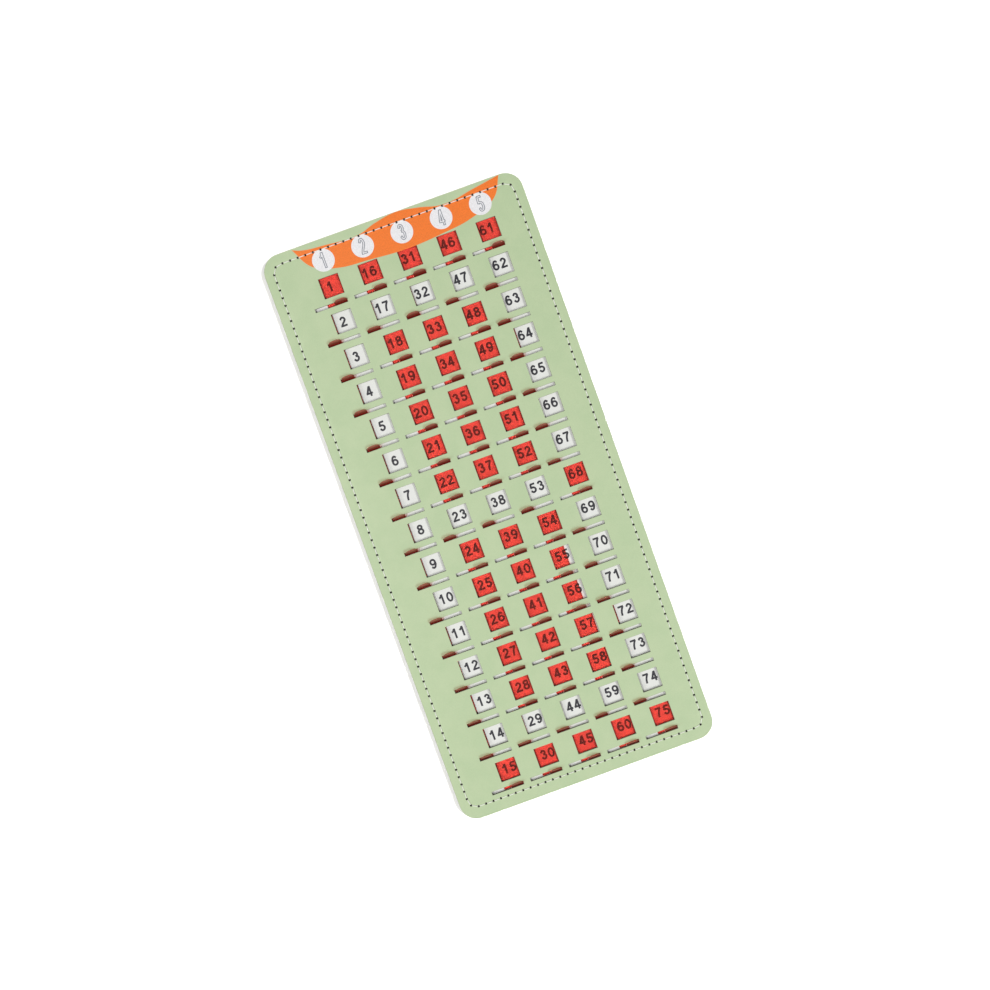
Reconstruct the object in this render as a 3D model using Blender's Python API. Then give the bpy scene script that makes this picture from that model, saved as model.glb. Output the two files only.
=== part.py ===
"""Bingo master board with sliding shutters, modelled as its real plies and shutters.

The board lies face up on its back cover. X runs across the five columns, Y runs up the
board towards the banner and Z points out of the front. The origin is the middle of the
back face. All lengths are in metres.

Five plies make the board: a back cover, the card with the printed numbers, a guide sheet
that is cut out into one long channel for each row, the shutters that lie in the channels,
and a front cover with a window over each number and a slot under each window. A shutter
is folded from one blank of red sheet plastic. Its pane slides over the window and fills
the channel's height. A slit parts the pane's lower left from its tab, which comes up
through the slot, leans back towards the window, and stops at the slot's ends.
"""

import math

import bmesh
import bpy
from mathutils import Matrix

# Pattern of the board
COLUMNS = 5
ROWS = 15
SLIDING_ROWS = 11

# How far each shutter covers its number, one line per row, as shares of its travel
COVERED_SHARES = (
    (1, 1, 1, 1, 1),
    (0.04, 0.02, 0.02, 0, 0),
    (0.04, 1, 1, 1, 0),
    (0.04, 1, 1, 1, 0.05),
    (0.04, 1, 1, 1, 0),
    (0.04, 1, 1, 1, 0),
    (0.04, 1, 1, 1, 0),
    (0.04, 0, 0, 0, 1),
    (0.04, 1, 1, 1, 0),
    (0, 1, 1, 0.75, 0),
    (0.04, 1, 1, 0.8, 0),
    (0.02, 1, 1, 0.95, 0.06),
    (0.05, 1, 1, 1, 0),
    (0.05, 0.02, 0, 0, 0),
    (1, 1, 1, 1, 1),
)

# The whole board
BOARD_WIDTH = 0.1867
BOARD_LENGTH = 0.4142
CORNER_RADIUS = 0.0125

# Thickness of each ply
BACK_THICKNESS = 0.0015
NUMBER_CARD_THICKNESS = 0.0006
FRONT_THICKNESS = 0.0015
PANE_THICKNESS = 0.0004
GLUE_GAP = 0.00005

# Pane that covers a window
PANE_OVERLAP = 0.00005
PANE_LAP_ABOVE = 0.00085
PANE_TAIL = 0.0057
PANE_CORNER = 0.0006
SLIVER = 0.0001
SLIT_WIDTH = 0.0003
SLIT_RISE = 0.0004

# Folded tab
TAB_WIDTH = 0.00895
TAB_STAND = 0.0036
TAB_LEAN = math.radians(30)
TAB_SHOULDER_WIDTH = 0.002
TAB_SHOULDER_LENGTH = 0.0022
FOLD_RADIUS = 0.0006

# Clearances of the sliding fit
PANE_CLEARANCE = 0.0003
EDGE_CLEARANCE = 0.0003
STOP_CLEARANCE = 0.00015
SLOT_CLEARANCE_BELOW = 0.00045
SLOT_CLEARANCE_ABOVE = 0.0007
NEIGHBOUR_GAP = 0.000325

# Guide sheet's rails, and the card that is left round its channels
RAIL_HEIGHT = 0.00335
TOP_MARGIN = 0.0244
BOTTOM_MARGIN = 0.01215
LEFT_MARGIN = 0.01895
RIGHT_MARGIN = 0.0246

# Depth by which a shutter of the resting rows is bonded into the number card
BOND_DEPTH = 0.00005

# Length by which a cutter runs past what it cuts
CUT_OVERRUN = 0.001

# Fineness of the round stretches
CORNER_STEPS = 8
FOLD_STEPS = 4
TAB_STEPS = 3

# A row's channel holds a shutter for each column, which parks beside its own window
CHANNEL_LENGTH = BOARD_WIDTH - LEFT_MARGIN - RIGHT_MARGIN
COLUMN_PITCH = (CHANNEL_LENGTH - 2 * EDGE_CLEARANCE + NEIGHBOUR_GAP) / COLUMNS
SHUTTER_REACH = COLUMN_PITCH - NEIGHBOUR_GAP
WINDOW_WIDTH = (SHUTTER_REACH - 3 * PANE_OVERLAP + SLIVER) / 2
PANE_WIDTH = WINDOW_WIDTH + 2 * PANE_OVERLAP
TRAVEL = SHUTTER_REACH - PANE_WIDTH

# A rail parts each channel from the next, and the pane and its fold fill the channel
ROW_PITCH = (BOARD_LENGTH - TOP_MARGIN - BOTTOM_MARGIN + RAIL_HEIGHT) / ROWS
CHANNEL_HEIGHT = ROW_PITCH - RAIL_HEIGHT
SHUTTER_HEIGHT = CHANNEL_HEIGHT - 2 * EDGE_CLEARANCE
FOLD_REACH = FOLD_RADIUS + PANE_THICKNESS / 2
WINDOW_HEIGHT = SHUTTER_HEIGHT - PANE_LAP_ABOVE - PANE_TAIL - FOLD_REACH
PANE_TOP = WINDOW_HEIGHT / 2 + PANE_LAP_ABOVE
CHANNEL_TOP = PANE_TOP + EDGE_CLEARANCE
CHANNEL_BOTTOM = CHANNEL_TOP - CHANNEL_HEIGHT

# Heights of the plies
NUMBER_CARD_BOTTOM = BACK_THICKNESS + GLUE_GAP
NUMBER_CARD_TOP = NUMBER_CARD_BOTTOM + NUMBER_CARD_THICKNESS
GUIDE_BOTTOM = NUMBER_CARD_TOP + GLUE_GAP
GUIDE_THICKNESS = PANE_THICKNESS + 2 * PANE_CLEARANCE
FRONT_BOTTOM = GUIDE_BOTTOM + GUIDE_THICKNESS + GLUE_GAP
FRONT_TOP = FRONT_BOTTOM + FRONT_THICKNESS
PANE_HEIGHT = (NUMBER_CARD_TOP + FRONT_BOTTOM) / 2
RESTING_PANE_HEIGHT = NUMBER_CARD_TOP - BOND_DEPTH + PANE_THICKNESS / 2

# The fold and the tab, measured from the middle of the window
FOLD_START = -WINDOW_HEIGHT / 2 - PANE_TAIL
FOLD_ANGLE = math.pi / 2 + TAB_LEAN
FOLD_END = FOLD_START - FOLD_RADIUS * math.sin(FOLD_ANGLE)
FOLD_END_RISE = FOLD_RADIUS * (1 - math.cos(FOLD_ANGLE))
TAB_RISE = FRONT_TOP + TAB_STAND - PANE_HEIGHT - FOLD_END_RISE
TAB_LENGTH = TAB_RISE / math.cos(TAB_LEAN)

# The slot clears the fold below, the leaning tab above, and stops the tab at both ends
TAB_AT_FRONT = FOLD_END + (FRONT_TOP - PANE_HEIGHT - FOLD_END_RISE) * math.tan(TAB_LEAN)
SLOT_TOP = TAB_AT_FRONT + PANE_THICKNESS / 2 / math.cos(TAB_LEAN) + SLOT_CLEARANCE_ABOVE
PANE_BOTTOM = FOLD_START - FOLD_REACH
SLOT_BOTTOM = PANE_BOTTOM - SLOT_CLEARANCE_BELOW
SLOT_RIGHT = PANE_WIDTH / 2 + STOP_CLEARANCE
SLOT_LEFT = PANE_WIDTH / 2 - TAB_WIDTH - TRAVEL - STOP_CLEARANCE

# Places on the board
CHANNEL_LEFT = -BOARD_WIDTH / 2 + LEFT_MARGIN
CHANNEL_RIGHT = BOARD_WIDTH / 2 - RIGHT_MARGIN
LAST_COLUMN = CHANNEL_RIGHT - EDGE_CLEARANCE - PANE_WIDTH / 2
FIRST_ROW = BOARD_LENGTH / 2 - TOP_MARGIN - CHANNEL_TOP


def column_x(column):
    """Middle of a column's windows."""
    return LAST_COLUMN - (COLUMNS - 1 - column) * COLUMN_PITCH


def row_y(row):
    """Middle of a row's windows."""
    return FIRST_ROW - row * ROW_PITCH


def finish(name, colour, roughness, transmission=0):
    """A material of one plain colour."""
    material = bpy.data.materials.new(name)
    material.use_nodes = True
    material.diffuse_color = (*colour, 1)
    shader = material.node_tree.nodes["Principled BSDF"]
    shader.inputs["Base Color"].default_value = (*colour, 1)
    shader.inputs["Roughness"].default_value = roughness
    shader.inputs["Metallic"].default_value = 0
    shader.inputs["Transmission Weight"].default_value = transmission
    return material


def add_object(name, shape, material=None, parent=None):
    """Makes a named object from a bmesh and frees the bmesh."""
    bmesh.ops.recalc_face_normals(shape, faces=shape.faces)
    mesh = bpy.data.meshes.new(name)
    shape.to_mesh(mesh)
    shape.free()
    if material:
        mesh.materials.append(material)
    piece = bpy.data.objects.new(name, mesh)
    piece.parent = parent
    bpy.context.scene.collection.objects.link(piece)
    return piece


def add_empty(name, parent=None):
    empty = bpy.data.objects.new(name, None)
    empty.parent = parent
    bpy.context.scene.collection.objects.link(empty)
    return empty


def hide_helper(piece):
    """Keeps a cutter or a guide out of the model."""
    piece.hide_render = True
    piece.display_type = "WIRE"


def rounded_outline():
    """The board's outline, with an arc at each corner, counter-clockwise."""
    points = []
    across = BOARD_WIDTH / 2 - CORNER_RADIUS
    along = BOARD_LENGTH / 2 - CORNER_RADIUS
    for quarter, (side, end) in enumerate(((1, 1), (-1, 1), (-1, -1), (1, -1))):
        for step in range(CORNER_STEPS + 1):
            angle = (quarter + step / CORNER_STEPS) * math.pi / 2
            x = side * across + CORNER_RADIUS * math.cos(angle)
            y = end * along + CORNER_RADIUS * math.sin(angle)
            points.append((x, y))
    return points


def add_ply(name, bottom, thickness, material, parent):
    """One sheet of card, the full size of the board."""
    shape = bmesh.new()
    corners = [shape.verts.new((x, y, 0)) for x, y in rounded_outline()]
    sheet = shape.faces.new(corners)
    top = bmesh.ops.extrude_face_region(shape, geom=[sheet])
    raised = [item for item in top["geom"] if isinstance(item, bmesh.types.BMVert)]
    bmesh.ops.translate(shape, verts=raised, vec=(0, 0, thickness))
    ply = add_object(name, shape, material, parent)
    ply.location.z = bottom
    return ply


def add_box(shape, left, right, low, high, thickness):
    """A cutting box that runs past both faces of a ply whose bottom is at zero."""
    size = (right - left, high - low, thickness + 2 * CUT_OVERRUN)
    middle = ((left + right) / 2, (low + high) / 2, thickness / 2)
    place = Matrix.Translation(middle) @ Matrix.Diagonal((*size, 1))
    bmesh.ops.create_cube(shape, size=1, matrix=place)


def cut_ply(ply, name, shape):
    """Cuts the boxes of a bmesh out of a ply."""
    cutter = add_object(name, shape, parent=ply)
    hide_helper(cutter)
    cut = ply.modifiers.new(name, "BOOLEAN")
    cut.operation = "DIFFERENCE"
    cut.object = cutter


def add_back_cover(parent):
    card = finish("back_card", (0.62, 0.64, 0.60), 0.8)
    return add_ply("back_cover", 0, BACK_THICKNESS, card, parent)


def add_shutter_guide(parent):
    """The ply with one long channel for each row, and a rail between each two."""
    board = finish("guide_board", (0.55, 0.54, 0.50), 0.85)
    guide = add_ply("shutter_guide", GUIDE_BOTTOM, GUIDE_THICKNESS, board, parent)
    shape = bmesh.new()
    for row in range(ROWS):
        low = row_y(row) + CHANNEL_BOTTOM
        high = row_y(row) + CHANNEL_TOP
        add_box(shape, CHANNEL_LEFT, CHANNEL_RIGHT, low, high, GUIDE_THICKNESS)
    cut_ply(guide, "channel_cutter", shape)
    return guide


def add_front_cover(parent):
    """The ply with a window over each number and a slot for each tab."""
    card = finish("front_card", (0.52, 0.64, 0.40), 0.45)
    cover = add_ply("front_cover", FRONT_BOTTOM, FRONT_THICKNESS, card, parent)
    shape = bmesh.new()
    across = WINDOW_WIDTH / 2
    along = WINDOW_HEIGHT / 2
    for row in range(ROWS):
        y = row_y(row)
        for column in range(COLUMNS):
            x = column_x(column)
            add_box(shape, x - across, x + across, y - along, y + along, FRONT_THICKNESS)
            left = x + SLOT_LEFT
            right = x + SLOT_RIGHT
            add_box(shape, left, right, y + SLOT_BOTTOM, y + SLOT_TOP, FRONT_THICKNESS)
    cut_ply(cover, "window_cutter", shape)
    return cover


def pane_outline():
    """The flat pane from the left end of the fold line round to its right, clockwise."""
    half = PANE_WIDTH / 2
    tab_left = half - TAB_WIDTH
    return [
        (tab_left, FOLD_START),
        (tab_left, FOLD_START + SLIT_RISE),
        (tab_left - SLIT_WIDTH, FOLD_START + SLIT_RISE),
        (tab_left - SLIT_WIDTH, PANE_BOTTOM),
        (-half, PANE_BOTTOM),
        (-half, PANE_TOP - PANE_CORNER),
        (PANE_CORNER - half, PANE_TOP),
        (half - PANE_CORNER, PANE_TOP),
        (half, PANE_TOP - PANE_CORNER),
        (half, FOLD_START),
    ]


def tab_stations():
    """Places along the folded tab: its inset on each side, its y and its z."""
    stations = []
    for step in range(1, FOLD_STEPS + 1):
        angle = FOLD_ANGLE * step / FOLD_STEPS
        y = FOLD_START - FOLD_RADIUS * math.sin(angle)
        z = FOLD_RADIUS * (1 - math.cos(angle))
        stations.append((0, y, z))
    for step in range(TAB_STEPS + 1):
        angle = math.pi / 2 * step / TAB_STEPS
        inset = TAB_SHOULDER_WIDTH * (1 - math.cos(angle))
        run = TAB_LENGTH - TAB_SHOULDER_LENGTH * (1 - math.sin(angle))
        y = FOLD_END + run * math.sin(TAB_LEAN)
        z = FOLD_END_RISE + run * math.cos(TAB_LEAN)
        stations.append((inset, y, z))
    return stations


def shutter_blank():
    """The middle surface of the folded blank, with the window's middle at its origin."""
    shape = bmesh.new()
    pane = [shape.verts.new((x, y, 0)) for x, y in pane_outline()]
    shape.faces.new(pane)
    left, right = pane[0], pane[-1]
    tab_left = PANE_WIDTH / 2 - TAB_WIDTH
    tab_right = PANE_WIDTH / 2
    for inset, y, z in tab_stations():
        next_left = shape.verts.new((tab_left + inset, y, z))
        next_right = shape.verts.new((tab_right - inset, y, z))
        shape.faces.new((left, right, next_right, next_left))
        left, right = next_left, next_right
    return shape


def add_shutter(name, mesh, column, row, height, parent):
    """A shutter on its row's slide line, as far over its window as its share says."""
    shutter = bpy.data.objects.new(name, mesh)
    shutter.parent = parent
    parked = TRAVEL * (1 - COVERED_SHARES[row][column])
    shutter.location = (column_x(column) - parked, 0, height)
    wall = shutter.modifiers.new("sheet", "SOLIDIFY")
    wall.thickness = PANE_THICKNESS
    wall.offset = 0
    wall.use_even_offset = True
    return shutter


def add_number_card(parent, resting):
    """The printed card, with the shutters of the lowest rows bonded down onto it."""
    card = finish("number_stock", (0.86, 0.85, 0.87), 0.6)
    ply = add_ply(
        "number_card", NUMBER_CARD_BOTTOM, NUMBER_CARD_THICKNESS, card, parent
    )
    bond = ply.modifiers.new("resting_shutters", "BOOLEAN")
    bond.operation = "UNION"
    bond.operand_type = "COLLECTION"
    bond.collection = resting
    return ply


def add_shutters(parent):
    """All the shutters, and the collection of those that rest on the number card."""
    plastic = finish("shutter_plastic", (0.80, 0.05, 0.04), 0.25, transmission=0.7)
    resting = bpy.data.collections.new("resting_shutters")
    bpy.context.scene.collection.children.link(resting)
    pattern = add_object("shutter_pattern", shutter_blank(), plastic)
    mesh = pattern.data
    bpy.data.objects.remove(pattern)
    for row in range(ROWS):
        line = add_empty(f"row_{row + 1:02d}_slide", parent)
        line.location.y = row_y(row)
        for column in range(COLUMNS):
            name = f"shutter_{column * ROWS + row + 1:02d}"
            if row < SLIDING_ROWS:
                shutter = add_shutter(name, mesh, column, row, PANE_HEIGHT, line)
                bpy.context.scene.collection.objects.link(shutter)
            else:
                shutter = add_shutter(name, mesh, column, row, RESTING_PANE_HEIGHT, line)
                resting.objects.link(shutter)
                hide_helper(shutter)
    return resting


for startup_object in list(bpy.data.objects):
    bpy.data.objects.remove(startup_object)

board = add_empty("master_board")
add_back_cover(board)
add_number_card(board, add_shutters(board))
add_shutter_guide(board)
add_front_cover(board)
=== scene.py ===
# Looks of the bingo master board, built round its packed plies and shutters. Lengths are in metres.
import math
import random

import bmesh
import bpy
from mathutils import Matrix, Vector


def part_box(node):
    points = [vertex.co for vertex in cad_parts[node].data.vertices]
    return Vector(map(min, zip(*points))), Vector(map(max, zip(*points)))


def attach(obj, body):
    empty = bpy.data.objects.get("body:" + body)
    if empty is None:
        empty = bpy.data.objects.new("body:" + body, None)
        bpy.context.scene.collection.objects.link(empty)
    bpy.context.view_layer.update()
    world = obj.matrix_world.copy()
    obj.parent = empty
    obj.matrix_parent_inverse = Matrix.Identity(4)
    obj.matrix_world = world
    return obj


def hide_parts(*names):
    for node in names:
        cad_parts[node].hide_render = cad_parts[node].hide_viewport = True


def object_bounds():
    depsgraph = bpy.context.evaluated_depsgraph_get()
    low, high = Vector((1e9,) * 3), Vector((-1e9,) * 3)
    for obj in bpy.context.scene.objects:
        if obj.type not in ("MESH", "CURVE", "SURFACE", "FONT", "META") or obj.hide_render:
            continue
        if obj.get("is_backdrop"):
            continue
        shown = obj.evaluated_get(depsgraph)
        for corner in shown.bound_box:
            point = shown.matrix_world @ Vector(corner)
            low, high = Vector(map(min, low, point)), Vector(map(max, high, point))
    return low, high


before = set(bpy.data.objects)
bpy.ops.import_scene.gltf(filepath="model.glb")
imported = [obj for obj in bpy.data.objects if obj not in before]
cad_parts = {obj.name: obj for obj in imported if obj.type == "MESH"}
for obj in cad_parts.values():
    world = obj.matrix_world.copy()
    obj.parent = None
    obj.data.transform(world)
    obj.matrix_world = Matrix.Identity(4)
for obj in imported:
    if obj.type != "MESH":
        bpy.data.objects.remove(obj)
cad_low, cad_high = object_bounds()
bpy.ops.object.select_all(action="DESELECT")


# Back cover: a plain sheet of pale grey pasteboard that closes the board from behind.
# It is die-cut to the board's outline, and its cut edge is pressed slightly round.
back_low, back_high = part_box("back_cover")
corner_radius = 0.0125
corner_steps = 18
die_rounding = 0.00016
rounding_steps = 2
rounded_from = math.radians(50)
sharp_angle = math.radians(40)


def finish_modifier(piece, kind, **settings):
    """Puts a modifier on a piece and applies it."""
    modifier = piece.modifiers.new(kind.lower(), kind)
    for name, value in settings.items():
        setattr(modifier, name, value)
    bpy.context.view_layer.objects.active = piece
    bpy.ops.object.modifier_apply(modifier=modifier.name)


def smooth_rounds(piece):
    """Shades the selected piece's rounded edges smooth and keeps its flat faces flat."""
    bpy.ops.object.shade_smooth_by_angle(angle=sharp_angle)
    finish_modifier(piece, "WEIGHTED_NORMAL", keep_sharp=True)


def open_sheet(name, low, high):
    """A flat face of the board's outline at the height of low, left open in edit mode."""
    middle = (low + high) / 2
    bpy.ops.mesh.primitive_plane_add(size=1, location=(middle.x, middle.y, low.z))
    sheet = bpy.context.object
    sheet.name = sheet.data.name = name
    sheet.scale = (high.x - low.x, high.y - low.y, 1)
    bpy.ops.object.transform_apply()
    bpy.ops.object.mode_set(mode="EDIT")
    bpy.ops.mesh.bevel(offset=corner_radius, segments=corner_steps, affect="VERTICES")
    return sheet


def close_sheet(sheet, thickness):
    """Gives an open sheet its thickness and its pressed edges, and leaves edit mode."""
    bpy.ops.mesh.select_all(action="SELECT")
    bpy.ops.mesh.extrude_region_move(TRANSFORM_OT_translate={"value": (0, 0, thickness)})
    bpy.ops.mesh.select_all(action="SELECT")
    bpy.ops.mesh.normals_make_consistent(inside=False)
    bpy.ops.object.mode_set(mode="OBJECT")
    finish_modifier(
        sheet, "BEVEL", width=die_rounding, segments=rounding_steps,
        limit_method="ANGLE", angle_limit=rounded_from,
    )
    smooth_rounds(sheet)


def add_node(tree, kind, fed=None, **kept):
    """A shader node. fed gives its sockets values or other nodes' sockets, kept its settings."""
    node = tree.nodes.new("ShaderNode" + kind)
    for name, value in kept.items():
        setattr(node, name, value)
    for socket, value in (fed or {}).items():
        if isinstance(value, bpy.types.NodeSocket):
            tree.links.new(value, node.inputs[socket])
        else:
            node.inputs[socket].default_value = value
    return node


def start_group(name, takes, gives):
    """An empty node group with its sockets, and its input and output nodes."""
    group = bpy.data.node_groups.new(name, "ShaderNodeTree")
    for socket, kind in takes.items():
        group.interface.new_socket(name=socket, in_out="INPUT", socket_type="NodeSocket" + kind)
    for socket, kind in gives.items():
        group.interface.new_socket(name=socket, in_out="OUTPUT", socket_type="NodeSocket" + kind)
    return group, group.nodes.new("NodeGroupInput"), group.nodes.new("NodeGroupOutput")


def start_material(name):
    """A material whose Principled BSDF is there already, with its tree and object coordinates."""
    material = bpy.data.materials.new(name)
    material.use_nodes = True
    tree = material.node_tree
    places = add_node(tree, "TexCoord").outputs["Object"]
    return material, tree, tree.nodes["Principled BSDF"], places


def make_pulp_group():
    """Paper pulp: fine matted fibres, and the faint clouds that pulp settles in."""
    group, taken, given = start_group(
        "pulp",
        {"Vector": "Vector", "Fibres per metre": "Float", "Clouds per metre": "Float"},
        {"Fibre": "Float", "Cloud": "Float"},
    )
    fibre = add_node(group, "TexNoise", {
        "Vector": taken.outputs["Vector"], "Scale": taken.outputs["Fibres per metre"],
        "Detail": 5, "Roughness": 0.62, "Distortion": 0.35,
    })
    cloud = add_node(group, "TexNoise", {
        "Vector": taken.outputs["Vector"], "Scale": taken.outputs["Clouds per metre"],
        "Detail": 3, "Roughness": 0.55,
    })
    group.links.new(fibre.outputs["Fac"], given.inputs["Fibre"])
    group.links.new(cloud.outputs["Fac"], given.inputs["Cloud"])
    return group


pulp_group = make_pulp_group()


def add_pulp(tree, places, fibres, clouds):
    """Places the pulp group in a material and gives its outputs."""
    pulp = add_node(tree, "Group", node_tree=pulp_group)
    tree.links.new(places, pulp.inputs["Vector"])
    pulp.inputs["Fibres per metre"].default_value = fibres
    pulp.inputs["Clouds per metre"].default_value = clouds
    return pulp.outputs


def shade_card(name, colour, dark_colour, roughness, fibres=900, clouds=60, relief=0.00006):
    """Unprinted card: two close colours of pulp, mixed by its fibres and clouds."""
    material, tree, shader, places = start_material(name)
    pulp = add_pulp(tree, places, fibres, clouds)
    blend = add_node(tree, "Math", {0: pulp["Fibre"], 1: pulp["Cloud"]}, operation="ADD")
    share = add_node(tree, "MapRange", {"Value": blend.outputs[0], "From Min": 0.7, "From Max": 1.3})
    tint = add_node(tree, "Mix", {
        0: share.outputs["Result"], 6: (*dark_colour, 1), 7: (*colour, 1),
    }, data_type="RGBA")
    bump = add_node(tree, "Bump", {"Height": pulp["Fibre"], "Strength": 0.5, "Distance": relief})
    tree.links.new(tint.outputs[2], shader.inputs["Base Color"])
    tree.links.new(bump.outputs["Normal"], shader.inputs["Normal"])
    shader.inputs["Roughness"].default_value = roughness
    return material


grey_card = shade_card("grey_card", (0.56, 0.57, 0.54), (0.46, 0.47, 0.44), 0.75)

back_board = open_sheet("back_board", back_low, back_high)
close_sheet(back_board, back_high.z - back_low.z)
back_board.data.materials.append(grey_card)
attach(back_board, "board")
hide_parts("back_cover")


# Number card: thin white coated card that lies on the back cover.
# It shows only through the windows, so all of its face but the numbers is plain.
number_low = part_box("number_card")[0]
guide_low, guide_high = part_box("shutter_guide")
glue_gap = number_low.z - back_high.z
number_top = guide_low.z - glue_gap

white_card = shade_card(
    "white_card", (0.73, 0.745, 0.73), (0.70, 0.715, 0.70), 0.5, fibres=1500, clouds=90, relief=0.00003
)

number_sheet = open_sheet("number_sheet", number_low, back_high)
close_sheet(number_sheet, number_top - number_low.z)
number_sheet.data.materials.append(white_card)
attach(number_sheet, "board")
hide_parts("number_card")


# Numbers: plain bold figures from 1 to 75, printed in blue-black ink on the number card.
# Each figure is drawn with a broad pen along the middle of its strokes, as shares of
# the box that the pen's middle can reach. A stroke that ends on the figure's edge runs past it.
first_low, first_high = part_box("shutter_01")
pane_width = first_high.x - first_low.x
pane_overlap = 0.00005
pane_lap_above = 0.00085
window_side = pane_width - 2 * pane_overlap
column_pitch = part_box("shutter_16")[0].x - first_low.x
row_pitch = first_low.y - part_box("shutter_02")[0].y
first_window = Vector((
    (first_low.x + first_high.x) / 2,
    first_high.y - pane_lap_above - window_side / 2,
    0,
))
columns = 5
rows = 15
figure_height = 0.0071
figure_width = 0.0046
figure_pen = 0.00136
figure_advance = 0.00555
figure_rise = 0.0006
stroke_steps = 7
print_turn = math.radians(0.35)
ink_film = 0.00002
six_ring = [(0.51, 0.59), (1, 0.295), (0.51, 0), (0.01, 0.295)]
six_arm = [(0.005, 0.33), (0.03, 0.62), (0.53, 1), (0.95, 0.83)]
figure_shares = {
    "0": [("ring", [(0.5, 1), (1, 0.62), (1, 0.38), (0.5, 0), (0, 0.38), (0, 0.62)])],
    "1": [
        ("line", [(0.62, -0.2), (0.62, 1.2)]),
        ("curve", [(-0.04, 0.71), (0.33, 0.82), (0.58, 1.08)]),
    ],
    "2": [
        ("curve", [(0.02, 0.765), (0.49, 1), (0.97, 0.75), (0.76, 0.5), (0.33, 0.26), (0, -0.03)]),
        ("line", [(-0.25, 0), (1.2, 0)]),
    ],
    "3": [
        ("curve", [(0.03, 0.8), (0.47, 1), (0.9, 0.78), (0.72, 0.61), (0.43, 0.555)]),
        ("curve", [(0.43, 0.555), (0.83, 0.49), (0.99, 0.27), (0.49, 0), (0, 0.23)]),
    ],
    "4": [
        ("line", [(0.77, -0.2), (0.77, 1.2)]),
        ("line", [(-0.25, 0.24), (1.25, 0.24)]),
        ("line", [(0.01, 0.24), (0.8, 1.17)]),
    ],
    "5": [
        ("line", [(0.14, 1), (1.11, 1)]),
        ("line", [(0.22, 1.04), (0.1, 0.5)]),
        ("curve", [(0.09, 0.51), (0.48, 0.6), (1, 0.3), (0.47, 0), (-0.01, 0.22)]),
    ],
    "6": [("ring", six_ring), ("curve", six_arm)],
    "7": [
        ("line", [(-0.13, 1), (1.13, 1)]),
        ("curve", [(1.02, 0.98), (0.67, 0.67), (0.42, 0.26), (0.35, -0.2)]),
    ],
    "8": [
        ("ring", [(0.5, 1), (0.91, 0.785), (0.5, 0.565), (0.09, 0.785)]),
        ("ring", [(0.5, 0.53), (1, 0.265), (0.5, 0), (0, 0.265)]),
    ],
    "9": [
        ("ring", [(1 - x, 1 - y) for x, y in six_ring]),
        ("curve", [(1 - x, 1 - y) for x, y in six_arm]),
    ],
}


def draw_stroke(form, points, pen, film):
    """One stroke of the pen, as a slab of ink on the plane at zero."""
    bpy.ops.curve.primitive_bezier_curve_add()
    stroke = bpy.context.object
    stroke.data.dimensions = "2D"
    stroke.data.fill_mode = "NONE"
    stroke.data.extrude = film / 2
    stroke.data.resolution_u = 1 if form == "line" else stroke_steps
    spline = stroke.data.splines[0]
    spline.bezier_points.add(len(points) - 2)
    spline.use_cyclic_u = form == "ring"
    for knot, (x, y) in zip(spline.bezier_points, points):
        knot.co = (x, y, 0)
        knot.handle_left_type = knot.handle_right_type = "VECTOR" if form == "line" else "AUTO"
    bpy.ops.object.convert(target="MESH")
    finish_modifier(stroke, "SOLIDIFY", thickness=pen, offset=0, use_even_offset=True)
    stroke.location.z = film / 2
    bpy.ops.object.transform_apply()
    return stroke


def draw_figure(digit, width, height, pen, film):
    """A figure from 0 to 9 in its own corner, its strokes made one and trimmed to its box."""
    strokes = []
    for form, shares in figure_shares[digit]:
        points = [(pen / 2 + x * (width - pen), pen / 2 + y * (height - pen)) for x, y in shares]
        strokes.append(draw_stroke(form, points, pen, film))
    bpy.ops.mesh.primitive_cube_add(size=1, location=(width / 2, height / 2, film / 2))
    figure = bpy.context.object
    figure.scale = (width, height, film)
    bpy.ops.object.transform_apply()
    inked = strokes[0]
    for stroke in strokes[1:]:
        finish_modifier(inked, "BOOLEAN", operation="UNION", object=stroke, use_self=True)
        bpy.data.objects.remove(stroke)
    finish_modifier(figure, "BOOLEAN", operation="INTERSECT", object=inked, use_self=True)
    bpy.data.objects.remove(inked)
    select_only(figure)
    bpy.ops.object.shade_smooth_by_angle(angle=sharp_angle)
    return figure


def select_only(piece):
    """Selects one piece, which becomes the active one."""
    bpy.ops.object.select_all(action="DESELECT")
    piece.select_set(True)
    bpy.context.view_layer.objects.active = piece


def copy_of(pattern, name, place, turn=0):
    """A copy of a pattern with a mesh of its own, turned about Z and moved to its place."""
    select_only(pattern)
    bpy.ops.object.duplicate()
    copy = bpy.context.object
    copy.name = copy.data.name = name
    copy.location = place
    copy.rotation_euler.z = turn
    bpy.ops.object.transform_apply()
    return copy


def join_all(name, pieces):
    """Several objects made one."""
    bpy.ops.object.select_all(action="DESELECT")
    for piece in pieces:
        piece.select_set(True)
    bpy.context.view_layer.objects.active = pieces[0]
    bpy.ops.object.join()
    joined = bpy.context.object
    joined.name = joined.data.name = name
    return joined


def shade_ink(name, colour, roughness):
    """Printing ink, a little thinner on the tops of the fibres under it."""
    material, tree, shader, places = start_material(name)
    pulp = add_pulp(tree, places, fibres=1800, clouds=150)
    cover = add_node(tree, "MapRange", {
        "Value": pulp["Fibre"], "From Min": 0.3, "From Max": 0.75, "To Min": 0.9, "To Max": 1.25,
    })
    tint = add_node(tree, "VectorMath", {0: colour, 1: cover.outputs["Result"]}, operation="MULTIPLY")
    tree.links.new(tint.outputs[0], shader.inputs["Base Color"])
    shader.inputs["Roughness"].default_value = roughness
    return material


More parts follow.
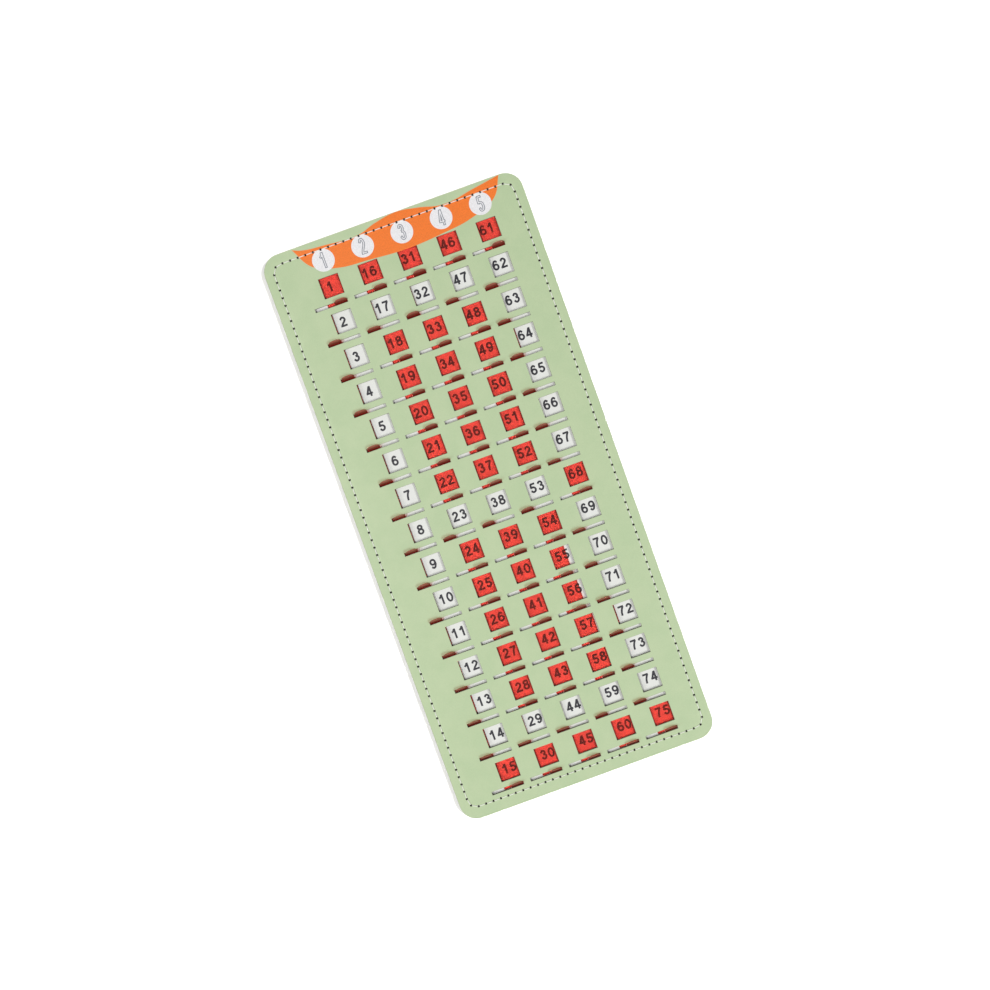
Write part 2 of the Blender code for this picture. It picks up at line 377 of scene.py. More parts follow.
black_ink = shade_ink("black_ink", (0.016, 0.016, 0.024), 0.45)
digits = {
    digit: draw_figure(digit, figure_width, figure_height, figure_pen, ink_film)
    for digit in figure_shares
}
figures = []
for number in range(1, columns * rows + 1):
    column, row = divmod(number - 1, rows)
    middle = first_window + Vector((column * column_pitch, figure_rise - row * row_pitch, number_top))
    middle = Matrix.Rotation(print_turn, 4, "Z") @ middle
    text = str(number)
    left = -((len(text) - 1) * figure_advance + figure_width) / 2
    for place, digit in enumerate(text):
        corner = Vector((left + place * figure_advance, -figure_height / 2, 0))
        figures.append(copy_of(
            digits[digit], "figure", middle + Matrix.Rotation(print_turn, 4, "Z") @ corner, print_turn
        ))
printed_numbers = join_all("printed_numbers", figures)
printed_numbers.data.materials.append(black_ink)
for pattern in digits.values():
    bpy.data.objects.remove(pattern)
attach(printed_numbers, "board")


# Shutter guide: a sheet of grey board, cut out into one long channel for each row.
# It is glued between the number card and the front cover, and its rails part the rows.
edge_clearance = 0.0003
rail_height = 0.00335
left_margin = 0.01895
right_margin = 0.0246
pane_top = window_side / 2 + pane_lap_above
channel_top = pane_top + edge_clearance
channel_low = channel_top - (row_pitch - rail_height)
cut_decimals = 7


def window_middle(column, row):
    """The middle of a window, counted from the board's upper left."""
    return first_window + Vector((column * column_pitch, -row * row_pitch, 0))


def pick(piece, kind, wanted):
    """Selects the faces or edges of a piece in edit mode that the test wants, and no others."""
    bpy.ops.mesh.select_mode(type=kind)
    bpy.ops.mesh.select_all(action="DESELECT")
    shape = bmesh.from_edit_mesh(piece.data)
    for part in shape.faces if kind == "FACE" else shape.edges:
        if wanted(part):
            part.select_set(True)
    bmesh.update_edit_mesh(piece.data)


def cut_openings(sheet, openings):
    """Cuts boxes, given as left, right, low and high, out of an open sheet."""
    for axis, places in (
        ((1, 0, 0), {round(x, cut_decimals) for box in openings for x in box[:2]}),
        ((0, 1, 0), {round(y, cut_decimals) for box in openings for y in box[2:]}),
    ):
        for place in sorted(places):
            bpy.ops.mesh.select_all(action="SELECT")
            bpy.ops.mesh.bisect(plane_co=[place * side for side in axis], plane_no=axis)

    def opened(face):
        middle = face.calc_center_median()
        return any(a < middle.x < b and c < middle.y < d for a, b, c, d in openings)

    pick(sheet, "FACE", opened)
    bpy.ops.mesh.delete(type="FACE")


guide_grey = shade_card("guide_grey", (0.36, 0.35, 0.31), (0.25, 0.24, 0.21), 0.85, fibres=700)

channel_sheet = open_sheet("channel_sheet", guide_low, guide_high)
channels = []
for row in range(rows):
    y = window_middle(0, row).y
    channels.append((
        guide_low.x + left_margin, guide_high.x - right_margin, y + channel_low, y + channel_top
    ))
cut_openings(channel_sheet, channels)
close_sheet(channel_sheet, guide_high.z - guide_low.z)
channel_sheet.data.materials.append(guide_grey)
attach(channel_sheet, "board")
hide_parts("shutter_guide")


# Shutters: each is one blank of red see-through sheet plastic. Its pane slides over the window, and its
# tab is folded up through the slot and leans back, to be pushed by a finger. Fingers have rubbed the tab
# dull.
# Its colour holds painted shade: darker towards the blank's cut rim, and darker on the tab below a
# height.
pane_thickness = 0.0004
pane_corner = 0.0006
pane_corner_steps = 4
pane_rounding = 0.00007
fold_line = -window_side / 2 - 0.0057
fold_radius = 0.0006
pane_bottom = fold_line - fold_radius - pane_thickness / 2
slit_width = 0.0003
slit_rise = 0.0004
blank_weld = 0.000001
fold_steps = 8
tab_width = 0.00895
tab_lean = math.radians(30)
tab_shoulder_width = 0.0031
tab_shoulder_length = 0.0027
tab_steps = 8
tab_stand = 0.0036
front_low, front_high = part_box("front_cover")
fold_angle = math.pi / 2 + tab_lean
fold_rise = fold_radius * (1 - math.cos(fold_angle))
pane_middle = first_low.z + pane_thickness / 2
tab_length = (front_high.z + tab_stand - pane_middle - fold_rise) / math.cos(tab_lean)
tab_along = Vector((0, math.sin(tab_lean), math.cos(tab_lean)))
tab_left = pane_width / 2 - tab_width
tab_middle = pane_width / 2 - tab_width / 2
# Painted shade: each pane darkens over this width inside its cut rim, where the cover's window edges
# shade it.
rim_shade_width = 0.0012
shade_height_fade = 0.0018
# Painted shade: the tab is painted dark below this rise above the front cover, where the slot shades it.
tab_shade_rise = 0.0014


def fold_shutter():
    """A shutter with the middle of its window at its origin."""
    height = pane_top - pane_bottom
    bpy.ops.mesh.primitive_plane_add(size=1, location=(0, pane_top - height / 2, 0))
    blank = bpy.context.object
    blank.name = "blank"
    blank.scale = (pane_width, height, 1)
    bpy.ops.object.transform_apply()
    bpy.ops.object.mode_set(mode="EDIT")
    pick(blank, "EDGE", lambda edge: all(vert.co.y > 0 for vert in edge.verts))
    bpy.ops.mesh.bevel(offset=pane_corner, segments=pane_corner_steps, affect="VERTICES")
    slit = (tab_left - slit_width, tab_left, 2 * pane_bottom, fold_line + slit_rise)
    below_fold = (tab_left, pane_width, 2 * pane_bottom, fold_line)
    cut_openings(blank, [slit, below_fold])
    pick(blank, "EDGE", lambda edge: all(
        abs(vert.co.y - fold_line) < slit_rise / 2 and vert.co.x > tab_left - slit_width / 2
        for vert in edge.verts
    ))
    bpy.ops.mesh.spin(
        steps=fold_steps, angle=fold_angle, center=(0, fold_line, fold_radius), axis=(1, 0, 0)
    )
    straight = tab_length - tab_shoulder_length
    bpy.ops.mesh.extrude_region_move(TRANSFORM_OT_translate={"value": straight * tab_along})
    reach, half = straight, tab_width / 2
    for step in range(1, tab_steps + 1):
        angle = math.pi / 2 * step / tab_steps
        next_reach = straight + tab_shoulder_length * math.sin(angle)
        next_half = tab_width / 2 - tab_shoulder_width * (1 - math.cos(angle))
        bpy.ops.mesh.extrude_region_move(
            TRANSFORM_OT_translate={"value": (next_reach - reach) * tab_along}
        )
        bpy.ops.transform.resize(value=(next_half / half, 1, 1), center_override=(tab_middle, 0, 0))
        reach, half = next_reach, next_half
    bpy.ops.mesh.select_all(action="SELECT")
    bpy.ops.mesh.remove_doubles(threshold=blank_weld)
    bpy.ops.mesh.normals_make_consistent(inside=False)
    bpy.ops.object.mode_set(mode="OBJECT")
    finish_modifier(
        blank, "SOLIDIFY", thickness=pane_thickness, offset=0, use_even_offset=True
    )
    finish_modifier(
        blank, "BEVEL", width=pane_rounding, segments=rounding_steps,
        limit_method="ANGLE", angle_limit=rounded_from,
    )
    smooth_rounds(blank)
    return blank


def make_outline_group():
    """How far a point lies inside a round-cornered outline round the middle of its coordinates."""
    group, taken, given = start_group(
        "outline_depth",
        {"Vector": "Vector", "Half Size": "Vector", "Radius": "Float"},
        {"Depth": "Float"},
    )
    flat = add_node(group, "VectorMath", {0: taken.outputs["Vector"], 1: (1, 1, 0)}, operation="MULTIPLY")
    folded = add_node(group, "VectorMath", {0: flat.outputs[0]}, operation="ABSOLUTE")
    past = add_node(group, "VectorMath", {
        0: folded.outputs[0], 1: taken.outputs["Half Size"],
    }, operation="SUBTRACT")
    corner = add_node(group, "VectorMath", {
        0: past.outputs[0], 1: taken.outputs["Radius"],
    }, operation="ADD")
    sides = add_node(group, "SeparateXYZ", {0: corner.outputs[0]})
    inner = add_node(group, "Math", {0: sides.outputs["X"], 1: sides.outputs["Y"]}, operation="MAXIMUM")
    inside = add_node(group, "Math", {0: inner.outputs[0], 1: 0}, operation="MINIMUM")
    outer = add_node(group, "VectorMath", {0: corner.outputs[0], 1: (0, 0, 0)}, operation="MAXIMUM")
    level = add_node(group, "VectorMath", {0: outer.outputs[0], 1: (1, 1, 0)}, operation="MULTIPLY")
    reach = add_node(group, "VectorMath", {0: level.outputs[0]}, operation="LENGTH")
    beyond = add_node(group, "Math", {0: reach.outputs["Value"], 1: inside.outputs[0]}, operation="ADD")
    depth = add_node(group, "Math", {
        0: taken.outputs["Radius"], 1: beyond.outputs[0],
    }, operation="SUBTRACT")
    group.links.new(depth.outputs[0], given.inputs["Depth"])
    return group


outline_group = make_outline_group()


def map_from_above(blank):
    """Gives a shutter its own places across and along the window, in metres, as its UV map."""
    spots = blank.data.uv_layers.active.data
    for corner, spot in zip(blank.data.loops, spots):
        spot.uv = blank.data.vertices[corner.vertex_index].co.xy


def shade_plastic(name, clear, painted_shade_colour, roughness, transmission, passed, painted_shade_below=0):
    """Red sheet plastic, with painted shade that darkens it towards the cut rim of its blank and below a
    height on the board. Light that falls through it to what lies behind is tinted too."""
    material, tree, shader, places = start_material(name)
    rim = add_node(tree, "Group", node_tree=outline_group)
    blank_middle = (0, (pane_top + pane_bottom) / 2, 0)
    tree.links.new(
        add_node(tree, "VectorMath", {
            0: add_node(tree, "UVMap").outputs["UV"], 1: blank_middle,
        }, operation="SUBTRACT").outputs[0],
        rim.inputs["Vector"],
    )
    rim.inputs["Half Size"].default_value = (pane_width / 2, (pane_top - pane_bottom) / 2, 0)
    rim.inputs["Radius"].default_value = pane_corner
    clear_of_rim_shade = add_node(tree, "MapRange", {"Value": rim.outputs["Depth"], "From Max": rim_shade_width})
    height = add_node(tree, "SeparateXYZ", {0: places}).outputs["Z"]
    above_tab_shade = add_node(tree, "MapRange", {
        "Value": height, "From Min": painted_shade_below, "From Max": painted_shade_below + shade_height_fade,
    })
    lit = add_node(tree, "Math", {
        0: clear_of_rim_shade.outputs["Result"], 1: above_tab_shade.outputs["Result"],
    }, operation="MULTIPLY")
    hazed = add_node(tree, "TexNoise", {"Vector": places, "Scale": 130, "Detail": 3})
    shade = add_node(tree, "MapRange", {"Value": hazed.outputs["Fac"], "To Min": 0.94, "To Max": 1.06})
    sheet = add_node(tree, "VectorMath", {0: clear, 1: shade.outputs["Result"]}, operation="MULTIPLY")
    tint = add_node(tree, "Mix", {
        0: lit.outputs[0], 6: (*painted_shade_colour, 1), 7: sheet.outputs[0],
    }, data_type="RGBA")
    bump = add_node(tree, "Bump", {
        "Height": hazed.outputs["Fac"], "Strength": 0.2, "Distance": 0.0002,
    })
    tree.links.new(tint.outputs[2], shader.inputs["Base Color"])
    tree.links.new(bump.outputs["Normal"], shader.inputs["Normal"])
    shader.inputs["Roughness"].default_value = roughness
    shader.inputs["IOR"].default_value = 1.46
    shader.inputs["Transmission Weight"].default_value = transmission
    through = add_node(tree, "BsdfTransparent", {"Color": (*passed, 1)})
    path = add_node(tree, "LightPath")
    mixed = add_node(tree, "MixShader", {
        0: path.outputs["Is Shadow Ray"], 1: shader.outputs[0], 2: through.outputs[0],
    })
    tree.links.new(mixed.outputs[0], tree.nodes["Material Output"].inputs["Surface"])
    return material


clear_plastic = shade_plastic(
    "red_plastic", (0.625, 0.19, 0.16), (0.27, 0.06, 0.045), 0.15, 0.95, (0.98, 0.44, 0.405)
)
# The tab's plastic is painted dark low down, as painted shade of the slot.
tab_plastic_with_painted_shade = shade_plastic(
    "tab_plastic_with_painted_shade", (0.50, 0.17, 0.12), (0.25, 0.012, 0.006), 0.4, 0.5, (0.60, 0.42, 0.33),
    painted_shade_below=front_high.z + tab_shade_rise,
)
travel = window_side - pane_overlap
resting_shares = {
    12: 0.02, 13: 0.05, 14: 0.05, 15: 1,
    27: 1, 28: 1, 29: 0.02, 30: 1,
    42: 1, 43: 1, 44: 0, 45: 1,
    57: 0.95, 58: 1, 59: 0, 60: 1,
    72: 0.06, 73: 0, 74: 0, 75: 1,
}
resting_lift = 0.00006
lean_variation = math.radians(3.5)
chance = random.Random(5)
shutter_pattern = fold_shutter()
map_from_above(shutter_pattern)
shutter_pattern.data.materials.append(clear_plastic)
shutter_pattern.data.materials.append(tab_plastic_with_painted_shade)
for face in shutter_pattern.data.polygons:
    if face.center.z > pane_thickness:
        face.material_index = 1
for number in range(1, columns * rows + 1):
    node = f"shutter_{number:02d}"
    if number in resting_shares:
        column, row = divmod(number - 1, rows)
        place = window_middle(column, row)
        place.x -= travel * (1 - resting_shares[number])
        place.z = number_top + resting_lift + pane_thickness / 2
    else:
        low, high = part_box(node)
        place = Vector(((low.x + high.x) / 2, high.y - pane_top, low.z + pane_thickness / 2))
    shutter = copy_of(shutter_pattern, f"red_{node}", place)
    bpy.ops.object.mode_set(mode="EDIT")
    above_fold = place.z + fold_rise
    pick(shutter, "FACE", lambda face: face.calc_center_median().z > above_fold)
    bpy.ops.transform.rotate(
        value=chance.uniform(-lean_variation, lean_variation), orient_axis="X",
        center_override=(place.x, place.y + fold_line, above_fold),
    )
    bpy.ops.object.mode_set(mode="OBJECT")
    if number in resting_shares:
        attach(shutter, "board")
    else:
        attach(shutter, node)
        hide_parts(node)
bpy.data.objects.remove(shutter_pattern)


# Front cover: stiff card, printed pale green and die-cut with a window over each number
# and a slot under each window. Its cut edges show the grey-green pulp under the print, painted darker as
# shade.
slot_low = -0.01365
slot_high = -0.011275
slot_left = -0.01605
slot_right = 0.00725
seam_low = Vector((-0.08685, -0.1986, 0))
seam_high = Vector((0.08685, 0.2001, 0))
seam_radius = 0.006
press_width = 0.0022
least_rub = 0.00003
most_rub = 0.00032
printed_upright = 0.98


def shade_print():
    """Pale green ink on card: clouded, rubbed thin along the board's edge, pressed in at the seam."""
    material, tree, shader, places = start_material("green_print")
    pulp = add_pulp(tree, places, fibres=2400, clouds=70)
    fibre = add_node(tree, "MapRange", {
        "Value": pulp["Fibre"], "From Min": 0.3, "From Max": 0.7, "To Min": 0.93, "To Max": 1.05,
    })
    cloud = add_node(tree, "MapRange", {"Value": pulp["Cloud"], "From Min": 0.35, "From Max": 0.65})
    clouded = add_node(tree, "Mix", {
        0: cloud.outputs["Result"], 6: (0.468, 0.580, 0.358, 1), 7: (0.438, 0.559, 0.338, 1),
    }, data_type="RGBA")
    green = add_node(tree, "VectorMath", {
        0: clouded.outputs[2], 1: fibre.outputs["Result"],
    }, operation="MULTIPLY")
    edge = add_node(tree, "Group", node_tree=outline_group)
    tree.links.new(places, edge.inputs["Vector"])
    edge.inputs["Half Size"].default_value = (cad_high.x, cad_high.y, 0)
    edge.inputs["Radius"].default_value = corner_radius
    ragged = add_node(tree, "TexNoise", {"Vector": places, "Scale": 260, "Detail": 4})
    rubbed_to = add_node(tree, "MapRange", {
        "Value": ragged.outputs["Fac"], "From Min": 0.35, "From Max": 0.75,
        "To Min": least_rub, "To Max": most_rub,
    })
    worn = add_node(tree, "Math", {
        0: edge.outputs["Depth"], 1: rubbed_to.outputs["Result"],
    }, operation="LESS_THAN")
    bared = add_node(tree, "Mix", {
        0: worn.outputs[0], 6: green.outputs[0], 7: (0.56, 0.62, 0.48, 1),
    }, data_type="RGBA")
    seam = add_node(tree, "Group", node_tree=outline_group)
    level = add_node(tree, "VectorMath", {
        0: places, 1: (seam_low + seam_high) / 2,
    }, operation="SUBTRACT")
    tree.links.new(level.outputs[0], seam.inputs["Vector"])
    seam.inputs["Half Size"].default_value = (seam_high - seam_low) / 2
    seam.inputs["Radius"].default_value = seam_radius
    beside = add_node(tree, "Math", {0: seam.outputs["Depth"]}, operation="ABSOLUTE")
    pressed = add_node(tree, "MapRange", {
        "Value": beside.outputs[0], "From Max": press_width,
    }, interpolation_type="SMOOTHSTEP")
    pull = add_node(tree, "Bump", {
        "Height": pressed.outputs["Result"], "Strength": 0.5, "Distance": 0.0002,
    })
    bump = add_node(tree, "Bump", {
        "Height": pulp["Fibre"], "Strength": 0.35, "Distance": 0.00004,
        "Normal": pull.outputs["Normal"],
    })
    gloss = add_node(tree, "MapRange", {"Value": pulp["Cloud"], "To Min": 0.38, "To Max": 0.56})
    tree.links.new(bared.outputs[2], shader.inputs["Base Color"])
    tree.links.new(gloss.outputs["Result"], shader.inputs["Roughness"])
    tree.links.new(bump.outputs["Normal"], shader.inputs["Normal"])
    return material


green_print = shade_print()
# The cut walls' pulp colour is darkened as painted shade of the walls of the windows and slots.
cut_pulp_with_painted_shade = shade_card("cut_pulp_with_painted_shade", (0.36, 0.39, 0.28), (0.26, 0.28, 0.20), 0.85, fibres=1300)

printed_front = open_sheet("printed_front", front_low, front_high)
openings = []
for row in range(rows):
    for column in range(columns):
        window = window_middle(column, row)
        half = window_side / 2
        openings.append((window.x - half, window.x + half, window.y - half, window.y + half))
        openings.append((
            window.x + slot_left, window.x + slot_right, window.y + slot_low, window.y + slot_high
        ))
cut_openings(printed_front, openings)
close_sheet(printed_front, front_high.z - front_low.z)
printed_front.data.materials.append(green_print)
printed_front.data.materials.append(cut_pulp_with_painted_shade)
for face in printed_front.data.polygons:
    face.material_index = 0 if face.normal.z > printed_upright else 1
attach(printed_front, "board")
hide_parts("front_cover")


# Banner: a plain orange ribbon across the head of the board, printed over the green.
# Its outline is drawn from the middle of the board's top edge.
head_middle = Vector(((cad_low.x + cad_high.x) / 2, cad_high.y, front_high.z))
banner_tips = ((-0.06995, -0.0008), (0.08005, -0.0003))
banner_upper = (
    (-0.06425, -0.0031), (-0.04795, -0.0051), (-0.02365, -0.0063), (-0.01045, -0.0026),
    (0.00585, -0.0003), (0.02085, -0.0026), (0.03705, -0.0063), (0.06205, -0.0031),
)
banner_lower = (
    (0.07205, -0.0138), (0.05205, -0.0218), (0.03205, -0.0246), (0.00505, -0.0263),
    (-0.02295, -0.0246), (-0.04415, -0.0226), (-0.06045, -0.0163),
)
print_film = 0.00002


def draw_banner():
    """The ribbon's outline, smooth but for its two tips, filled as a film of ink."""
    bpy.ops.curve.primitive_bezier_curve_add()
    ribbon = bpy.context.object
    ribbon.name = ribbon.data.name = "banner"
    ribbon.data.dimensions = "2D"
    ribbon.data.fill_mode = "BOTH"
    ribbon.data.extrude = print_film / 2
    outline = (banner_tips[0], *banner_upper, banner_tips[1], *banner_lower)
    spline = ribbon.data.splines[0]
    spline.bezier_points.add(len(outline) - 2)
    spline.use_cyclic_u = True
    for knot, (x, y) in zip(spline.bezier_points, outline):
        knot.co = (x, y, 0)
        knot.handle_left_type = knot.handle_right_type = (
            "VECTOR" if (x, y) in banner_tips else "AUTO"
        )
    bpy.ops.object.convert(target="MESH")
    ribbon.location = head_middle + Vector((0, 0, print_film / 2))
    bpy.ops.object.transform_apply()
    bpy.ops.object.shade_smooth_by_angle(angle=sharp_angle)
    return ribbon


banner = draw_banner()
banner.data.materials.append(shade_ink("orange_ink", (0.80, 0.175, 0.018), 0.42))
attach(banner, "board")


# Discs: five white rounds printed over the banner, one above each column.
# Each holds a tall outlined grey figure for its column.
disc_radius = 0.00775
disc_sides = 72
disc_pitch = 0.02845
disc_drop = 0.0144
disc_start = -0.05195
disc_figure_height = 0.0112
disc_figure_width = 0.0046
disc_figure_pen = 0.0017
disc_line = 0.0005
cap_upright = 0.5
weld_distance = 0.00001


def hollow_out(figure, line):
    """Leaves only a line of ink along a figure's outline."""
    select_only(figure)
    bpy.ops.object.mode_set(mode="EDIT")
    pick(figure, "FACE", lambda face: abs(face.normal.z) > cap_upright)
    bpy.ops.mesh.delete(type="FACE")
    bpy.ops.mesh.select_all(action="SELECT")
    bpy.ops.mesh.remove_doubles(threshold=weld_distance)
    bpy.ops.object.mode_set(mode="OBJECT")
    finish_modifier(figure, "SOLIDIFY", thickness=line, offset=-1, use_even_offset=True)
    bpy.ops.object.shade_smooth_by_angle(angle=sharp_angle)


disc_white = shade_ink("disc_white", (0.74, 0.74, 0.77), 0.42)
grey_ink = shade_ink("grey_ink", (0.18, 0.20, 0.24), 0.45)
discs = []
for column in range(columns):
    place = head_middle + Vector((disc_start + column * disc_pitch, -disc_drop, 1.5 * print_film))
    bpy.ops.mesh.primitive_cylinder_add(
        vertices=disc_sides, radius=disc_radius, depth=print_film, location=place
    )
    bpy.ops.object.transform_apply()
    bpy.ops.object.shade_smooth_by_angle(angle=sharp_angle)
    disc = bpy.context.object
    disc.name = disc.data.name = f"disc_{column + 1}"
    disc.data.materials.append(disc_white)
    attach(disc, "board")
    discs.append(disc)
    figure = draw_figure(
        str(column + 1), disc_figure_width, disc_figure_height, disc_figure_pen, print_film
    )
    hollow_out(figure, disc_line)
    figure.name = figure.data.name = f"disc_figure_{column + 1}"
    figure.location = place + Vector((
        -disc_figure_width / 2, -disc_figure_height / 2, print_film / 2
    ))
    bpy.ops.object.transform_apply()
    figure.data.materials.append(grey_ink)
    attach(figure, "board")


# Seam: one line of white thread, sewn through all the plies close to the edge.
# The needle leaves a punched hole at each end of every stitch, on both faces, its walls painted near
# black as shade.
stitches = 206
needle_radius = 0.00095
needle_tip_radius = 0.0006
needle_depth = 0.0011
needle_overrun = 0.0003
needle_sides = 10
thread_radius = 0.0003
thread_rise = 0.00016
thread_rim_rise = thread_radius / 3
thread_sink = 0.0008
thread_foot = needle_radius * 0.7
thread_knee = needle_radius * 1.3
thread_round_steps = 1
arch_steps = 3


def seam_places():
    """The needle holes, at an even pitch round the seam line from the board's lower left."""
    across = seam_high.x - seam_low.x - 2 * seam_radius
    along = seam_high.y - seam_low.y - 2 * seam_radius
    bend = math.pi / 2
    length = 2 * (across + along) + 4 * bend * seam_radius
    for stitch in range(stitches):
        left = length * stitch / stitches
        place = Vector((seam_low.x + seam_radius, seam_low.y, 0))
        for quarter, side in enumerate((across, along, across, along)):
            heading = quarter * bend
            run = min(left, side)
            place += run * Vector((math.cos(heading), math.sin(heading), 0))
            left -= run
            turned = min(left / seam_radius, bend)
            centre = place + seam_radius * Vector((-math.sin(heading), math.cos(heading), 0))
            place = centre + Matrix.Rotation(turned, 3, "Z") @ (place - centre)
            left -= turned * seam_radius
            if left <= 0:
                break
        yield place


holes = list(seam_places())
# Painted shade: the walls of the needle holes are near black, for the shade inside them.
hole_painted_shade = shade_card("hole_painted_shade", (0.035, 0.03, 0.025), (0.02, 0.017, 0.015), 0.9, fibres=2500)


def punch(pieces, level, down):
    """Punches the needle holes into pieces whose face is at this level."""
    bpy.ops.mesh.primitive_cone_add(
        vertices=needle_sides, radius1=needle_tip_radius, radius2=needle_radius,
        depth=needle_depth + needle_overrun, location=(0, 0, (needle_overrun - needle_depth) / 2),
    )
    bpy.ops.object.transform_apply()
    needle = bpy.context.object
    if not down:
        needle.rotation_euler.x = math.pi
        bpy.ops.object.transform_apply()
    needle.data.materials.append(hole_painted_shade)
    needles = [
        copy_of(needle, "needle", hole + Vector((0, 0, level))) for hole in holes
    ]
    bpy.data.objects.remove(needle)
    cutter = join_all("needles", needles)
    for piece in pieces:
        select_only(piece)
        finish_modifier(
            piece, "BOOLEAN", operation="DIFFERENCE", object=cutter, material_mode="TRANSFER"
        )
        smooth_rounds(piece)
    bpy.data.objects.remove(cutter)


punch([printed_front, banner, *discs], front_high.z, down=True)
punch([back_board], back_low.z, down=False)


def sew(name, level, upwards):
    """The thread on one face: an arch over the card from each needle hole to the next."""
    pitch = (holes[1] - holes[0]).length
    bpy.ops.curve.primitive_bezier_curve_add()
    arch = bpy.context.object
    arch.data.bevel_depth = thread_radius
    arch.data.bevel_resolution = thread_round_steps
    arch.data.resolution_u = arch_steps
    arch.data.use_fill_caps = True
    spline = arch.data.splines[0]
    spline.bezier_points.add(3)
    for knot, place in zip(spline.bezier_points, (
        (thread_foot, 0, -thread_sink), (thread_knee, 0, thread_rim_rise),
        (pitch / 2, 0, thread_rise),
        (pitch - thread_knee, 0, thread_rim_rise), (pitch - thread_foot, 0, -thread_sink),
    )):
        knot.co = place
        knot.handle_left_type = knot.handle_right_type = "AUTO"
    bpy.ops.object.convert(target="MESH")
    if not upwards:
        arch.scale.z = -1
        bpy.ops.object.transform_apply()
    bpy.ops.object.mode_set(mode="EDIT")
    bpy.ops.mesh.select_all(action="SELECT")
    bpy.ops.mesh.remove_doubles(threshold=weld_distance)
    bpy.ops.mesh.normals_make_consistent(inside=False)
    bpy.ops.object.mode_set(mode="OBJECT")
    arches = []
    for start, end in zip(holes, holes[1:] + holes[:1]):
        run = end - start
        heading = math.atan2(run.y, run.x)
        arches.append(copy_of(arch, "stitch", start + Vector((0, 0, level)), heading))
    bpy.data.objects.remove(arch)
    thread = join_all(name, arches)
    bpy.ops.object.shade_smooth_by_angle(angle=sharp_angle)
    return thread


def shade_thread():
    """Polyester thread of two twisted plies."""
    material, tree, shader, places = start_material("white_thread")
    twist = add_node(tree, "TexWave", {
        "Vector": places, "Scale": 900, "Distortion": 1.5,
    }, bands_direction="DIAGONAL")
    tint = add_node(tree, "Mix", {
        0: twist.outputs["Fac"], 6: (0.80, 0.81, 0.76, 1), 7: (0.90, 0.91, 0.87, 1),
    }, data_type="RGBA")
    bump = add_node(tree, "Bump", {"Height": twist.outputs["Fac"], "Strength": 0.6, "Distance": 0.00008})
    tree.links.new(tint.outputs[2], shader.inputs["Base Color"])
    tree.links.new(bump.outputs["Normal"], shader.inputs["Normal"])
    shader.inputs["Roughness"].default_value = 0.7
    return material


white_thread = shade_thread()
for name, level, upwards in (
    ("seam_thread_front", front_high.z, True), ("seam_thread_back", back_low.z, False),
):
    thread = sew(name, level, upwards)
    thread.data.materials.append(white_thread)
    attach(thread, "board")


# Table: a plain white surface, just clear of the thread on the board's back, under a dim sky
# with a paler backdrop. Soft lamps stand round the board: one high and one low to its left, and
# a pair to its lower right. One more, to its right, lights the table alone.
table_side = 8
table_gap = 0.0006
bpy.ops.mesh.primitive_plane_add(size=table_side, location=(0, 0, cad_low.z - table_gap))
table = bpy.context.object
table.name = "table"
table_white = bpy.data.materials.new("table_white")
table_white.use_nodes = True
table_white.node_tree.nodes["Principled BSDF"].inputs["Base Color"].default_value = (0.98, 0.98, 0.98, 1)
table_white.node_tree.nodes["Principled BSDF"].inputs["Roughness"].default_value = 0.9
table.data.materials.append(table_white)
table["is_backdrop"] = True

sky = bpy.data.worlds.new("sky")
sky.use_nodes = True
sky_tree = sky.node_tree
dim_sky = sky_tree.nodes["Background"]
dim_sky.inputs["Color"].default_value = (0.97, 0.985, 1, 1)
dim_sky.inputs["Strength"].default_value = 0.16
backdrop = add_node(sky_tree, "Background", {"Color": (0.93, 0.94, 0.95, 1)})
seen_sky = add_node(sky_tree, "MixShader", {
    0: add_node(sky_tree, "LightPath").outputs["Is Camera Ray"],
    1: dim_sky.outputs[0], 2: backdrop.outputs[0],
})
sky_tree.links.new(seen_sky.outputs[0], sky_tree.nodes["World Output"].inputs["Surface"])
bpy.context.scene.world = sky

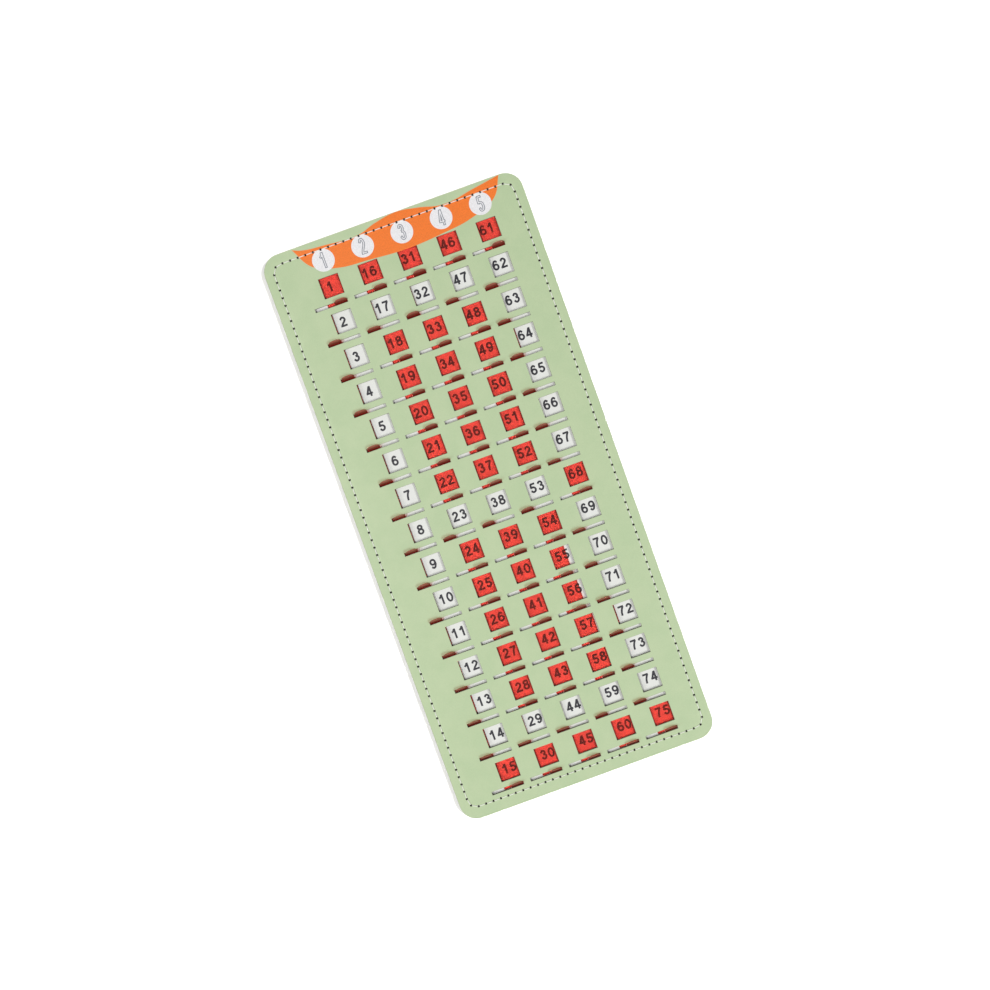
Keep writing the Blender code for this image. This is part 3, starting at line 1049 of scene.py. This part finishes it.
# A lamp's heading is counted from +X, its lean from upright. Its share is the light that it
# gives where it points, as a share of what makes a white surface look white.
lamp_distance = 3.5
for name, heading, lean, size, share in (
    ("left_lamp", 180, 24.2, 0.7, 0.39),
    ("low_left_lamp", -170, 54.5, 1.2, 0.15),
    ("right_lamp", -30, 36.9, 0.7, 0.31),
    ("near_right_lamp", -55, 36.9, 0.7, 0.10),
    ("table_lamp", 8, 31, 0.5, 0.55),
):
    turn = Matrix.Rotation(math.radians(heading), 3, "Z") @ Matrix.Rotation(math.radians(lean), 3, "Y")
    bpy.ops.object.light_add(type="AREA", location=turn @ Vector((0, 0, lamp_distance)))
    lamp = bpy.context.object
    lamp.name = lamp.data.name = name
    lamp.rotation_euler = turn.to_euler()
    lamp.data.size = size
    lamp.data.energy = (math.pi * lamp_distance) ** 2 * share / math.cos(math.radians(lean))
    lamp.data.color = (1, 0.985, 0.96)
    # The panes let a lamp's light through as tinted shadow, so it isn't let through twice.
    lamp.visible_transmission = False
lit_alone = bpy.data.collections.new("lit_alone")
lit_alone.objects.link(table)
bpy.data.objects["table_lamp"].light_linking.receiver_collection = lit_alone

# Camera: nearly straight above the board, turned so that the board leans to the left.
# Its aim and turn put each window where the photograph has it.
camera_aim = Vector((0.0037, 0.0021, cad_high.z - 0.0036))
camera_distance = 0.9
camera_lean = math.radians(3.08)
camera_swing = math.radians(-2.3)
camera_roll = math.radians(19.85)
camera_lens = 47.45
backwards = Vector((
    math.sin(camera_lean) * math.sin(camera_swing),
    math.sin(camera_lean) * math.cos(camera_swing),
    math.cos(camera_lean),
))
rightwards = Vector((math.sin(camera_roll), math.cos(camera_roll), 0)).cross(backwards).normalized()
upwards = backwards.cross(rightwards)
stand = Matrix((rightwards, upwards, backwards)).transposed().to_4x4()
stand.translation = camera_aim + camera_distance * backwards
bpy.ops.object.camera_add()
camera = bpy.context.object
camera.matrix_world = stand
camera.data.lens = camera_lens
bpy.context.scene.camera = camera
bpy.context.scene.view_settings.view_transform = "Standard"

low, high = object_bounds()
